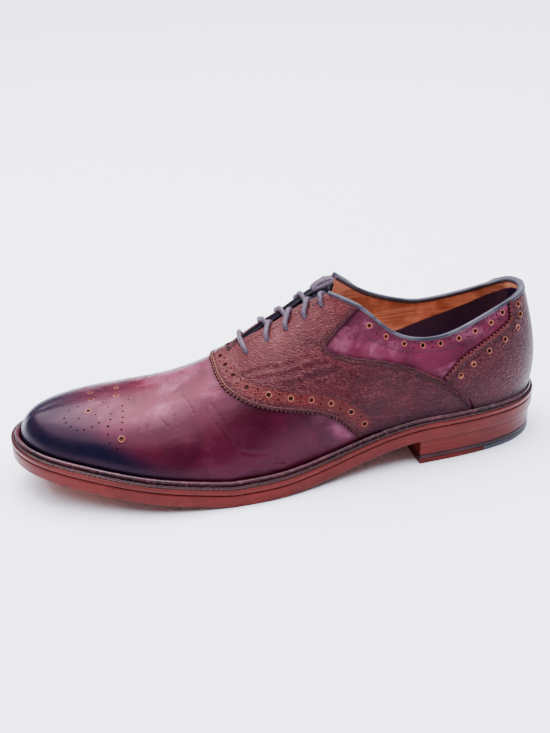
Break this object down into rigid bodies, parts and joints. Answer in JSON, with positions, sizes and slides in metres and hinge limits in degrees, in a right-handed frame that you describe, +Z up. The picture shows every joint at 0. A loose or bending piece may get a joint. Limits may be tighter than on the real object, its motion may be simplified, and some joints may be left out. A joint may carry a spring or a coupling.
{
  "type": "saddle oxford dress shoe",
  "caption": "Left laced leather dress shoe with saddle and counter overlays, pierced toe, welted leather sole and stacked heel.",
  "frame": {"origin": "middle of the shoe's footprint, on the floor that it stands on", "axes": "+Z up, the toe towards -Y, the wearer's left (the outer side) towards +X"},
  "size_m": [0.1117, 0.3093, 0.1063],
  "materials": {
    "plum_leather": "burnished smooth leather, semi-gloss",
    "grain_leather": "pebble-grain leather, satin",
    "piping": "thin bound edge, satin",
    "tongue_leather": "dark smooth leather, satin",
    "lining_leather": "polished tan lining leather",
    "sole_leather": "waxed sole leather, semi-gloss edge",
    "welt_leather": "dark stained leather with stitches, satin",
    "heel_rubber": "moulded rubber, matt",
    "lace_cord": "waxed round cord, low sheen"
  },
  "bodies": {
    "root": {"upper": "plum_leather", "saddle_outer": "grain_leather", "saddle_inner": "grain_leather", "counter": "grain_leather", "collar_binding": "piping", "tongue": "tongue_leather", "insole": "lining_leather", "outsole": "sole_leather", "heel_block": "sole_leather", "heel_lift_leather": "sole_leather", "welt": "welt_leather", "heel_lift_rubber": "heel_rubber", "heel_layer": "heel_rubber", "lace_crossings": "lace_cord", "lace_knot": "lace_cord"}
  },
  "joints": []
}
